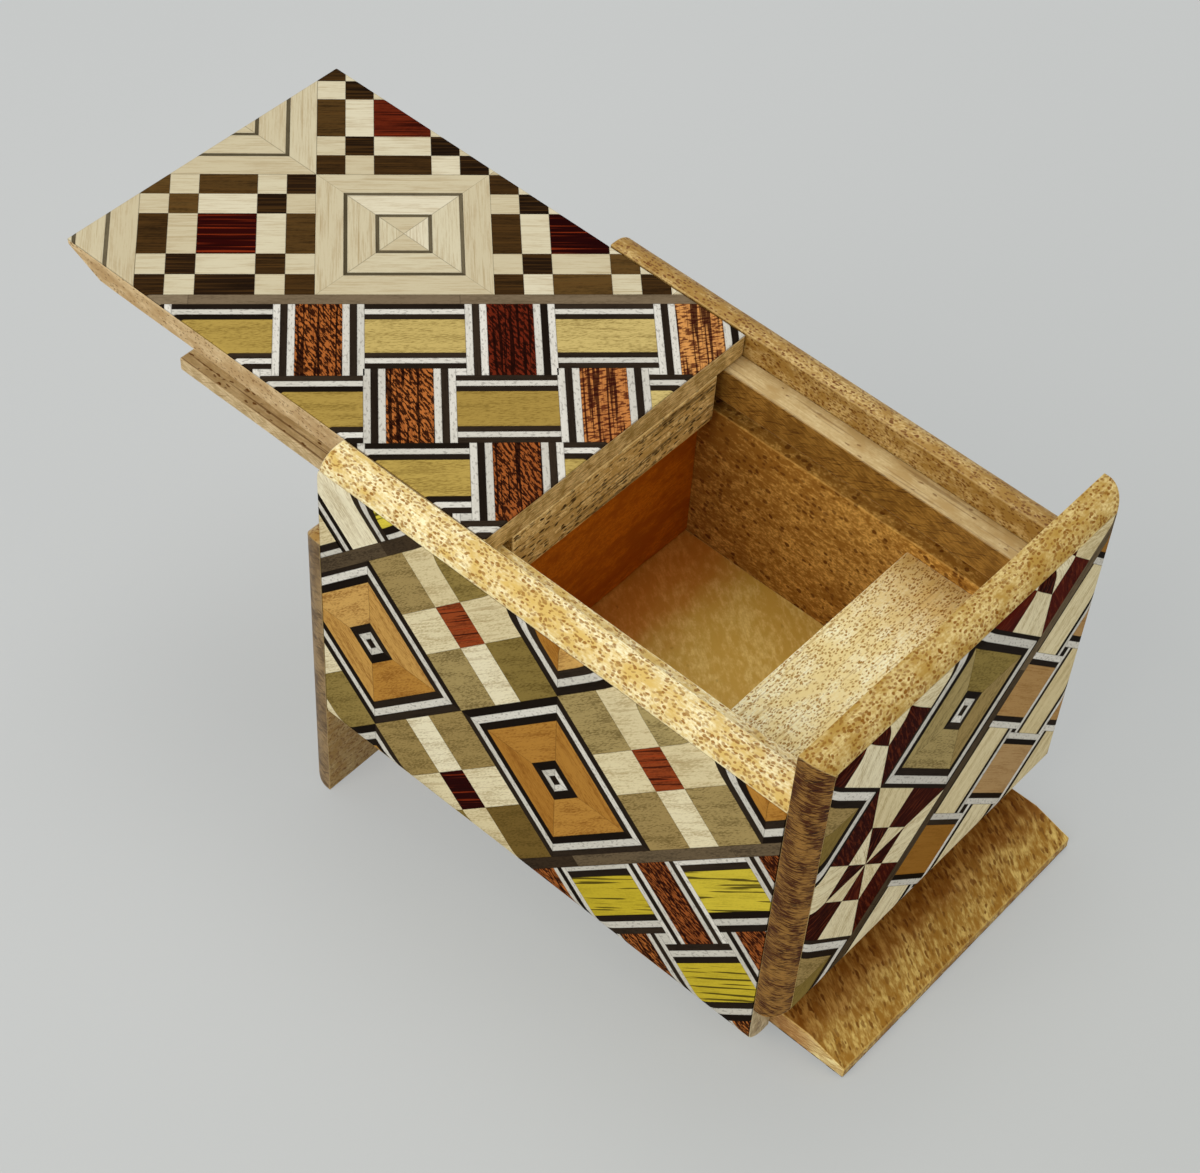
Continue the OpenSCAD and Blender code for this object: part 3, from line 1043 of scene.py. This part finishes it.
def make_lid_sheet():
    """The lid's marquetry, drawn out to the left."""
    sheet = "lid_yosegi_sheet"
    face = Face("lid_board", sheet, (1, 0, 0), (0, -1, 0))
    lay_sheet(sheet, face, lid_pattern(), 5, LID_PICKS)


def make_bottom_sheet():
    """The bottom board's marquetry, seen from below."""
    sheet = "bottom_yosegi_sheet"
    face = Face("bottom_board", sheet, (1, 0, 0), (0, 1, 0))
    lay_sheet(sheet, face, lid_pattern(), 6)


def make_side_sheet(side, way, seed, picks=()):
    """The marquetry of the front or back side board, laid towards one way along the box."""
    sheet = side + "_yosegi_sheet"
    face = Face(side + "_side_board", sheet, (way, 0, 0), (0, 0, -1))
    lay_sheet(sheet, face, front_pattern(), seed, picks, rounding=EDGE_RADIUS, ends=False)


def make_end_sheet(end, way, seed, shift=0.0, picks=()):
    """The marquetry of the left or right end board, laid towards the front or the back."""
    sheet = end + "_end_yosegi_sheet"
    face = Face(end + "_end_board", sheet, (0, way, 0), (0, 0, -1))
    lay_sheet(sheet, face, end_pattern(shift), seed, picks, rounding=EDGE_RADIUS)


# -------- the box


def make_boards():
    """Every board of the box in its own wood, with the axis that it wavers along."""
    rail = planed_beech()
    runner = runner_beech("runner_wood", "#d8c090", "#ad8a50", ("#b08a48", "#7c5620"), 7.0)
    light_runner = runner_beech("runner_wood_back", "#cfba8a", "#b49762", ("#a67c38", "#7c5620"), 9.0,
                                share=0.1, lines=0.4)
    inner = inner_wood()
    core = rough_core()
    flange = runner_beech("flange_wood", "#dcc699", "#b59a6c", ("#d8c094", "#b39868"), 19.0)
    boards = [
        (rail, 0, "front_side_board"), (shaded_beech(), 0, "back_side_board"),
        (rail, 0, "front_top_tongue"), (light_runner, 0, "back_top_tongue"),
        (runner, 0, "front_bottom_tongue back_bottom_tongue"), (inner, 0, "front_liner back_liner"),
        (floor_wood(), 0, "compartment_floor"), (partition_wood(), 1, "left_cross_wall"),
        (inner, 1, "right_cross_wall"), (ledge_beech(), 1, "right_ledge"),
        (inner, 2, "left_front_guide left_back_guide right_front_guide right_back_guide"),
        (lid_beech(), 0, "lid_board"), (core, 0, "lid_core"),
        (flange, 0, "lid_front_flange lid_back_flange"),
        (flat_sawn_beech(), 0, "bottom_board"), (core, 0, "bottom_core"),
        (runner, 0, "bottom_front_flange bottom_back_flange"),
        (left_end_beech(), 1, "left_end_board"), (inner, 2, "left_key_stem"),
        (inner, 1, "left_key_head left_lock_strip"),
        (end_beech(), 1, "right_end_board"), (inner, 2, "right_key_stem"),
        (inner, 1, "right_key_head"),
    ]
    rows = [(node, wood, axis) for wood, axis, nodes in boards for node in nodes.split()]
    for number, (node, wood, axis) in enumerate(rows):
        dress_board(node, wood, axis, number * 3.7)


# -------- studio


def backdrop_rays(tree):
    """1 for rays that show the backdrop itself, and 0 for those that only carry its light."""
    rays = add(tree, "ShaderNodeLightPath").outputs
    mirrored = calc(tree, "MAXIMUM", rays["Is Glossy Ray"], rays["Is Transmission Ray"])
    return calc(tree, "MAXIMUM", rays["Is Camera Ray"], mirrored)


def make_table():
    """A pale table under the box, which stands on its dropped left end and its bottom board."""
    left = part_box("left_end_board")
    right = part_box("bottom_yosegi_sheet")
    foot = Vector((left[1].x, 0, left[0].z))
    toe = Vector((right[1].x, 0, right[0].z))
    along = (toe - foot).normalized()
    up = Vector((-along.z, 0, along.x))
    centre = (foot + toe) / 2 - up * 0.05 * MM
    reach = 3.0
    mesh = bpy.data.meshes.new("table_top")
    corners = [centre + along * a * reach + Vector((0, b * reach, 0))
               for a, b in ((-1, -1), (1, -1), (1, 1), (-1, 1))]
    mesh.from_pydata([c[:] for c in corners], [], [(0, 1, 2, 3)])
    table = in_scene("table_top", mesh)
    material, tree, shader = new_material("pale_table", {"Specular IOR Level": 0.2, "Roughness": 0.75})
    place = add(tree, "ShaderNodeTexCoord").outputs["Object"]
    cloud = add(tree, "ShaderNodeTexNoise", {"Vector": place, "Scale": 6.0, "Detail": 3.0})
    tree.links.new(mixed(tree, cloud.outputs["Fac"], "#c6c9c8", "#d0d3d2"), shader.inputs["Base Color"])
    # The backdrop grows darker towards the right: painted shade.
    side = threshold(tree, axes(tree, place)[0], -0.10, 0.18)
    pale = add(tree, "ShaderNodeEmission", {"Color": mixed(tree, side, "#c6c8c8", "#b2b5b3")})
    share = times(tree, backdrop_rays(tree), 0.62)
    both = add(tree, "ShaderNodeMixShader", {0: share, 1: shader.outputs[0], 2: pale.outputs[0]})
    tree.links.new(both.outputs[0], tree.nodes["Material Output"].inputs["Surface"])
    mesh.materials.append(material)


def make_world():
    """Soft daylight all round, which the camera sees as the pale backdrop."""
    world = bpy.data.worlds.new("daylight")
    bpy.context.scene.world = world
    world.use_nodes = True
    tree = world.node_tree
    tree.nodes.clear()
    light = add(tree, "ShaderNodeBackground", {"Color": linear("#f4f6f8"), "Strength": 0.54})
    seen = add(tree, "ShaderNodeBackground", {"Color": linear("#c9cccb"), "Strength": 1.0})
    both = add(tree, "ShaderNodeMixShader", {0: backdrop_rays(tree), 1: light.outputs[0],
                                             2: seen.outputs[0]})
    add(tree, "ShaderNodeOutputWorld", {0: both.outputs[0]})


def softbox(name, place, size, watts, hue):
    """A square lamp that faces the middle of the box."""
    lamp = bpy.data.lights.new(name, "AREA")
    lamp.size = size
    lamp.energy = watts
    lamp.color = linear(hue)[:3]
    stand = in_scene(name, lamp)
    stand.location = place
    aim = Vector((-0.01, 0, 0.02)) - Vector(place)
    stand.rotation_euler = aim.to_track_quat("-Z", "Y").to_euler()


def make_lights():
    """A wide lamp over the front, a weaker one at the right and one high over the back left."""
    make_world()
    softbox("key_lamp", (-0.08, -0.58, 0.48), 0.5, 2.7, "#fff8ec")
    softbox("side_lamp", (0.6, 0.12, 0.42), 0.4, 0.92, "#fff4e4")
    softbox("top_lamp", (-0.12, 0.16, 0.66), 0.35, 1.3, "#ffffff")


def make_camera():
    """The photograph's viewpoint: from the front right, high up, with the horizon leaning a little."""
    compass, tilt, roll = [math.radians(angle) for angle in (36.01, 39.61, 6.25)]
    lens = bpy.data.cameras.new("photo_camera")
    lens.lens = 82.87
    lens.shift_x = -0.06
    lens.shift_y = 0.03
    lens.clip_start = 0.01
    camera = in_scene("photo_camera", lens)
    camera.matrix_world = (Matrix.Rotation(compass, 4, "Z") @ Matrix.Rotation(tilt, 4, "X")
                           @ Matrix.Rotation(roll, 4, "Z"))
    camera.location = (0.099286, -0.13935, 0.226999)
    bpy.context.scene.camera = camera


bpy.context.scene.view_settings.view_transform = "Standard"
make_camera()
make_lights()
make_table()
make_boards()
make_lid_sheet()
make_bottom_sheet()
make_side_sheet("front", 1, seed=7, picks=FRONT_PICKS)
make_side_sheet("back", -1, seed=9)
make_end_sheet("right", 1, seed=13, picks=RIGHT_PICKS)
make_end_sheet("left", -1, seed=11, shift=5.0)
